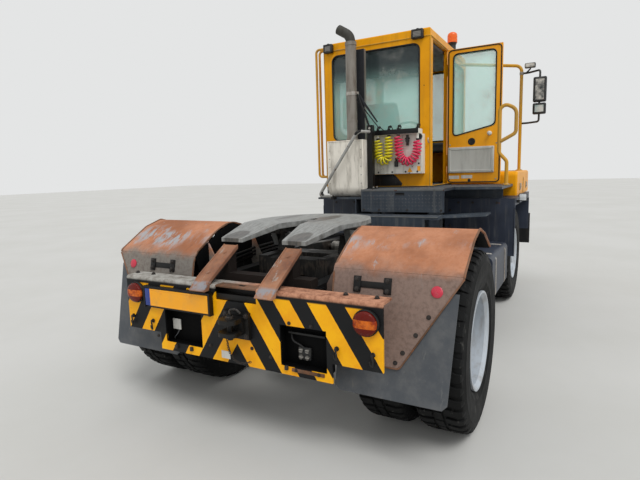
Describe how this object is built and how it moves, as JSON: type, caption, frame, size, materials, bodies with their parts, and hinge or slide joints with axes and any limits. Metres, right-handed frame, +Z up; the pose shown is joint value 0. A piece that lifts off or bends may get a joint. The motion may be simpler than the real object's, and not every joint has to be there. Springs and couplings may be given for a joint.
{
  "type": "terminal tractor",
  "caption": "Terminal tractor with offset cab, rear fenders, guide ramps and a lifting fifth wheel.",
  "frame": {"origin": "on the ground, under the middle of the overall box", "axes": "+X forward, +Y to the driver's left, +Z up"},
  "size_m": [5.377, 2.65, 3.275],
  "materials": {
    "panel_grey": "worn",
    "frame_black": "satin",
    "beacon_lens": "clear",
    "cab_yellow": "gloss",
    "window": "clear",
    "pipe_steel": "heat stained",
    "greased_steel": "greased",
    "rim_silver": "satin",
    "tyre_rubber": "matt",
    "dark_blue": "satin",
    "chrome_rod": "polished",
    "mirror_black": "moulded",
    "flap_rubber": "matt",
    "plate_yellow": "matt",
    "rusty_sheet": "worn, rusty",
    "bumper_paint": "satin, striped",
    "tread_plate": "chequered",
    "hose_red": "smooth",
    "seat_fabric": "woven",
    "stainless": "stained",
    "cab_plastic": "moulded",
    "lamp_lens": "clear",
    "work_lens": "clear",
    "hose_yellow": "smooth"
  },
  "bodies": {
    "chassis": {"air_panel": "panel_grey", "air_tanks": "frame_black", "battery_box": "frame_black", "beacon": "beacon_lens", "cab_floor": "cab_yellow", "cab_front_wall": "cab_yellow", "cab_glass": "window", "cab_rear_wall": "cab_yellow", "cab_roof": "cab_yellow", "cab_sides": "cab_yellow", "cross_members": "frame_black", "engine": "frame_black", "engine_hood": "cab_yellow", "exhaust_post": "frame_black", "exhaust_stack": "pipe_steel", "frame_rails": "frame_black", "front_axle": "frame_black", "front_bumper": "frame_black", "front_panel": "cab_yellow", "front_wings": "dark_blue", "fuel_tank": "frame_black", "grab_rails": "cab_yellow", "leaf_springs": "frame_black", "lift_hangers": "frame_black", "mirrors": "mirror_black", "mudflaps": "flap_rubber", "number_plate": "plate_yellow", "propshaft": "frame_black", "ramps": "rusty_sheet", "rear_axle": "frame_black", "rear_bumper": "bumper_paint", "rear_deck": "tread_plate", "rear_fenders": "rusty_sheet", "rear_steps": "tread_plate", "red_hose": "hose_red", "seat": "seat_fabric", "silencer_cover": "stainless", "steering_console": "cab_plastic", "tail_lamps": "lamp_lens", "tow_coupling": "greased_steel", "work_lamps": "work_lens", "yellow_hose": "hose_yellow"},
    "door_left": {"door_glass_left": "window", "door_left": "cab_yellow"},
    "door_right": {"door_glass_right": "window", "door_right": "cab_yellow"},
    "fifth_wheel": {"fifth_wheel_plate": "greased_steel"},
    "front_wheel_left": {"front_rim_left": "rim_silver", "front_tyre_left": "tyre_rubber"},
    "front_wheel_right": {"front_rim_right": "rim_silver", "front_tyre_right": "tyre_rubber"},
    "knuckle_left": {"knuckle_left": "frame_black"},
    "knuckle_right": {"knuckle_right": "frame_black"},
    "lift_barrels": {"lift_barrels": "frame_black"},
    "lift_boom": {"lift_boom": "frame_black"},
    "lift_rods": {"lift_rods": "chrome_rod"},
    "rear_wheels_left": {"rear_rims_left": "rim_silver", "rear_tyres_left": "tyre_rubber"},
    "rear_wheels_right": {"rear_rims_right": "rim_silver", "rear_tyres_right": "tyre_rubber"}
  },
  "joints": [
    {"name": "rear_wheels_left_turn", "type": "hinge", "parent": "chassis", "child": "rear_wheels_left", "pos_m": [-1.765, 0.919, 0.546], "axis": [0, 1, 0], "continuous": true},
    {"name": "rear_wheels_right_turn", "type": "hinge", "parent": "chassis", "child": "rear_wheels_right", "pos_m": [-1.765, -0.919, 0.546], "axis": [0, 1, 0], "continuous": true},
    {"name": "steer_left", "type": "hinge", "parent": "chassis", "child": "knuckle_left", "pos_m": [1.435, 0.745, 0.546], "axis": [0, 0, 1], "range_deg": [-35, 35]},
    {"name": "steer_right", "type": "hinge", "parent": "chassis", "child": "knuckle_right", "pos_m": [1.435, -0.745, 0.546], "axis": [0, 0, 1], "range_deg": [-35, 35]},
    {"name": "front_wheel_left_turn", "type": "hinge", "parent": "knuckle_left", "child": "front_wheel_left", "pos_m": [1.435, 0.915, 0.546], "axis": [0, 1, 0], "continuous": true},
    {"name": "front_wheel_right_turn", "type": "hinge", "parent": "knuckle_right", "child": "front_wheel_right", "pos_m": [1.435, -0.915, 0.546], "axis": [0, 1, 0], "continuous": true},
    {"name": "door_right_swing", "type": "hinge", "parent": "chassis", "child": "door_right", "pos_m": [1.17, -0.305, 1.4], "axis": [0, 0, 1], "range_deg": [-90, 0]},
    {"name": "door_left_swing", "type": "hinge", "parent": "chassis", "child": "door_left", "pos_m": [1.301, 0.973, 1.4], "axis": [0, 0, 1], "range_deg": [-90, 0]},
    {"name": "boom_lift", "type": "hinge", "parent": "chassis", "child": "lift_boom", "pos_m": [-0.315, 0, 0.8], "axis": [0, 1, 0], "range_deg": [0, 24]},
    {"name": "plate_pitch", "type": "hinge", "parent": "lift_boom", "child": "fifth_wheel", "pos_m": [-1.585, 0, 1.085], "axis": [0, 1, 0], "range_deg": [0, 15]},
    {"name": "barrel_swing", "type": "hinge", "parent": "chassis", "child": "lift_barrels", "pos_m": [-0.815, 0, 0.46], "axis": [0, 1, 0], "range_deg": [0, 15]},
    {"name": "rod_slide", "type": "slide", "parent": "lift_barrels", "child": "lift_rods", "axis": [-0.304, 0, 0.9527], "range_m": [0, 0.24]}
  ],
  "couplings": [
    {"joint": "steer_right", "follows": "steer_left", "ratio": 1},
    {"joint": "barrel_swing", "follows": "boom_lift", "ratio": 0.6095},
    {"joint": "rod_slide", "follows": "boom_lift", "m_per_rad": 0.5566}
  ]
}
